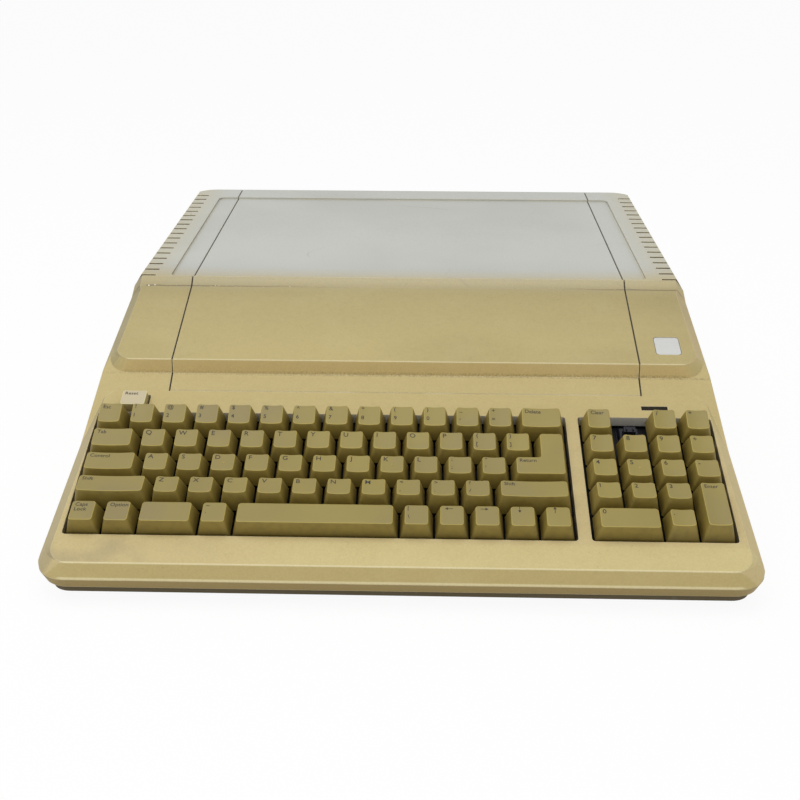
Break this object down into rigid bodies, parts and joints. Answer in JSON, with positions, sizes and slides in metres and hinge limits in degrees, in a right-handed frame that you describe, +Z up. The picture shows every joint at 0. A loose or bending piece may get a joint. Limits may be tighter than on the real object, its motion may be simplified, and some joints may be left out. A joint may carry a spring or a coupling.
{
  "type": "home computer",
  "caption": "Wedge-shaped home computer with a built-in keyboard and numeric keypad, vented sides and a lid that tips up over its card slots.",
  "frame": {"origin": "on the table, under the middle of the case", "axes": "+X to the user's right, +Y to the back, +Z up"},
  "size_m": [0.389, 0.457, 0.113],
  "materials": {
    "case": "fine-grained yellowed plastic",
    "keys": "satin plastic, worn tops",
    "reset": "satin plastic",
    "zinc_steel": "zinc-plated sheet",
    "screw_steel": "plated",
    "rubber": "matte",
    "nylon": "natural nylon",
    "badge": "satin",
    "lamp": "dark smoked window",
    "black_plastic": "moulded",
    "board": "solder-masked laminate",
    "cable": "insulated wire",
    "speaker": "paper cone and magnet",
    "brass": "plated"
  },
  "bodies": {
    "case": {"upper_case": "case", "base_plate": "zinc_steel", "rear_panel": "zinc_steel", "port_plugs": "case", "feet": "rubber", "case_screws": "screw_steel", "lid_catches": "nylon", "badge_plate": "badge", "lamp_window": "lamp", "keyboard_plate": "zinc_steel", "keyboard_screws": "screw_steel", "key_switches": "black_plastic", "keyboard_board": "board", "keyboard_cable": "cable", "logic_board": "board", "board_standoffs": "nylon", "expansion_slots": "black_plastic", "auxiliary_slot": "black_plastic", "logic_chips": "black_plastic", "power_supply": "zinc_steel", "supply_board": "board", "power_inlet": "black_plastic", "switch_frame": "black_plastic", "power_cable": "cable", "speaker": "speaker", "speaker_cable": "cable", "video_jack": "brass", "cassette_jacks": "black_plastic", "joystick_socket": "zinc_steel"},
    "lid": {"lid": "case"},
    "space_bar_wire": {"space_bar_wire": "screw_steel"},
    "power_switch": {"power_switch": "black_plastic"},
    "esc_key": {"esc_key": "keys"},
    "number_keys": {"number_keys": "keys"},
    "delete_key": {"delete_key": "keys"},
    "tab_key": {"tab_key": "keys"},
    "upper_letter_keys": {"upper_letter_keys": "keys"},
    "control_key": {"control_key": "keys"},
    "home_letter_keys": {"home_letter_keys": "keys"},
    "return_key": {"return_key": "keys"},
    "left_shift_key": {"left_shift_key": "keys"},
    "lower_letter_keys": {"lower_letter_keys": "keys"},
    "right_shift_key": {"right_shift_key": "keys"},
    "caps_lock_key": {"caps_lock_key": "keys"},
    "option_key": {"option_key": "keys"},
    "command_key": {"command_key": "keys"},
    "tilde_key": {"tilde_key": "keys"},
    "space_bar": {"space_bar": "keys"},
    "backslash_key": {"backslash_key": "keys"},
    "left_arrow_key": {"left_arrow_key": "keys"},
    "right_arrow_key": {"right_arrow_key": "keys"},
    "down_arrow_key": {"down_arrow_key": "keys"},
    "up_arrow_key": {"up_arrow_key": "keys"},
    "clear_key": {"clear_key": "keys"},
    "keypad_number_keys": {"keypad_number_keys": "keys"},
    "keypad_sign_keys": {"keypad_sign_keys": "keys"},
    "zero_key": {"zero_key": "keys"},
    "enter_key": {"enter_key": "keys"},
    "reset_key": {"reset_key": "reset"}
  },
  "joints": [
    {"name": "lid_tilt", "type": "hinge", "parent": "case", "child": "lid", "pos_m": [0, -0.09635, 0.06838], "axis": [1, 0, 0], "range_deg": [0, 60]},
    {"name": "power_rock", "type": "hinge", "parent": "case", "child": "power_switch", "pos_m": [-0.106, 0.2155, 0.034], "axis": [1, 0, 0], "range_deg": [-20, 0]},
    {"name": "esc_key_press", "type": "slide", "parent": "case", "child": "esc_key", "axis": [0, 0.3256, -0.9455], "range_m": [0, 0.0038], "stiffness_N_per_m": 150, "springref_m": -0.002},
    {"name": "number_keys_press", "type": "slide", "parent": "case", "child": "number_keys", "axis": [0, 0.3256, -0.9455], "range_m": [0, 0.0038], "stiffness_N_per_m": 1800, "springref_m": -0.002},
    {"name": "delete_key_press", "type": "slide", "parent": "case", "child": "delete_key", "axis": [0, 0.3256, -0.9455], "range_m": [0, 0.0038], "stiffness_N_per_m": 150, "springref_m": -0.002},
    {"name": "tab_key_press", "type": "slide", "parent": "case", "child": "tab_key", "axis": [0, 0.3256, -0.9455], "range_m": [0, 0.0038], "stiffness_N_per_m": 150, "springref_m": -0.002},
    {"name": "upper_letter_keys_press", "type": "slide", "parent": "case", "child": "upper_letter_keys", "axis": [0, 0.3256, -0.9455], "range_m": [0, 0.0038], "stiffness_N_per_m": 1800, "springref_m": -0.002},
    {"name": "control_key_press", "type": "slide", "parent": "case", "child": "control_key", "axis": [0, 0.3256, -0.9455], "range_m": [0, 0.0038], "stiffness_N_per_m": 150, "springref_m": -0.002},
    {"name": "home_letter_keys_press", "type": "slide", "parent": "case", "child": "home_letter_keys", "axis": [0, 0.3256, -0.9455], "range_m": [0, 0.0038], "stiffness_N_per_m": 1650, "springref_m": -0.002},
    {"name": "return_key_press", "type": "slide", "parent": "case", "child": "return_key", "axis": [0, 0.3256, -0.9455], "range_m": [0, 0.0038], "stiffness_N_per_m": 150, "springref_m": -0.002},
    {"name": "left_shift_key_press", "type": "slide", "parent": "case", "child": "left_shift_key", "axis": [0, 0.3256, -0.9455], "range_m": [0, 0.0038], "stiffness_N_per_m": 150, "springref_m": -0.002},
    {"name": "lower_letter_keys_press", "type": "slide", "parent": "case", "child": "lower_letter_keys", "axis": [0, 0.3256, -0.9455], "range_m": [0, 0.0038], "stiffness_N_per_m": 1500, "springref_m": -0.002},
    {"name": "right_shift_key_press", "type": "slide", "parent": "case", "child": "right_shift_key", "axis": [0, 0.3256, -0.9455], "range_m": [0, 0.0038], "stiffness_N_per_m": 150, "springref_m": -0.002},
    {"name": "caps_lock_key_press", "type": "slide", "parent": "case", "child": "caps_lock_key", "axis": [0, 0.3256, -0.9455], "range_m": [0, 0.0038], "stiffness_N_per_m": 150, "springref_m": -0.002},
    {"name": "option_key_press", "type": "slide", "parent": "case", "child": "option_key", "axis": [0, 0.3256, -0.9455], "range_m": [0, 0.0038], "stiffness_N_per_m": 150, "springref_m": -0.002},
    {"name": "command_key_press", "type": "slide", "parent": "case", "child": "command_key", "axis": [0, 0.3256, -0.9455], "range_m": [0, 0.0038], "stiffness_N_per_m": 150, "springref_m": -0.002},
    {"name": "tilde_key_press", "type": "slide", "parent": "case", "child": "tilde_key", "axis": [0, 0.3256, -0.9455], "range_m": [0, 0.0038], "stiffness_N_per_m": 150, "springref_m": -0.002},
    {"name": "space_bar_press", "type": "slide", "parent": "case", "child": "space_bar", "axis": [0, 0.3256, -0.9455], "range_m": [0, 0.0038], "stiffness_N_per_m": 150, "springref_m": -0.002},
    {"name": "backslash_key_press", "type": "slide", "parent": "case", "child": "backslash_key", "axis": [0, 0.3256, -0.9455], "range_m": [0, 0.0038], "stiffness_N_per_m": 150, "springref_m": -0.002},
    {"name": "left_arrow_key_press", "type": "slide", "parent": "case", "child": "left_arrow_key", "axis": [0, 0.3256, -0.9455], "range_m": [0, 0.0038], "stiffness_N_per_m": 150, "springref_m": -0.002},
    {"name": "right_arrow_key_press", "type": "slide", "parent": "case", "child": "right_arrow_key", "axis": [0, 0.3256, -0.9455], "range_m": [0, 0.0038], "stiffness_N_per_m": 150, "springref_m": -0.002},
    {"name": "down_arrow_key_press", "type": "slide", "parent": "case", "child": "down_arrow_key", "axis": [0, 0.3256, -0.9455], "range_m": [0, 0.0038], "stiffness_N_per_m": 150, "springref_m": -0.002},
    {"name": "up_arrow_key_press", "type": "slide", "parent": "case", "child": "up_arrow_key", "axis": [0, 0.3256, -0.9455], "range_m": [0, 0.0038], "stiffness_N_per_m": 150, "springref_m": -0.002},
    {"name": "clear_key_press", "type": "slide", "parent": "case", "child": "clear_key", "axis": [0, 0.3256, -0.9455], "range_m": [0, 0.0038], "stiffness_N_per_m": 150, "springref_m": -0.002},
    {"name": "keypad_number_keys_press", "type": "slide", "parent": "case", "child": "keypad_number_keys", "axis": [0, 0.3256, -0.9455], "range_m": [0, 0.0038], "stiffness_N_per_m": 1500, "springref_m": -0.002},
    {"name": "keypad_sign_keys_press", "type": "slide", "parent": "case", "child": "keypad_sign_keys", "axis": [0, 0.3256, -0.9455], "range_m": [0, 0.0038], "stiffness_N_per_m": 600, "springref_m": -0.002},
    {"name": "zero_key_press", "type": "slide", "parent": "case", "child": "zero_key", "axis": [0, 0.3256, -0.9455], "range_m": [0, 0.0038], "stiffness_N_per_m": 150, "springref_m": -0.002},
    {"name": "enter_key_press", "type": "slide", "parent": "case", "child": "enter_key", "axis": [0, 0.3256, -0.9455], "range_m": [0, 0.0038], "stiffness_N_per_m": 150, "springref_m": -0.002},
    {"name": "reset_key_press", "type": "slide", "parent": "case", "child": "reset_key", "axis": [0, 0.3256, -0.9455], "range_m": [0, 0.0015], "stiffness_N_per_m": 150, "springref_m": -0.002},
    {"name": "wire_turn", "type": "hinge", "parent": "case", "child": "space_bar_wire", "pos_m": [0, -0.20139, 0.02364], "axis": [1, 0, 0], "range_deg": [-23.1, 0]}
  ],
  "couplings": [
    {"joint": "wire_turn", "follows": "space_bar_press", "rad_per_m": -101.52}
  ]
}
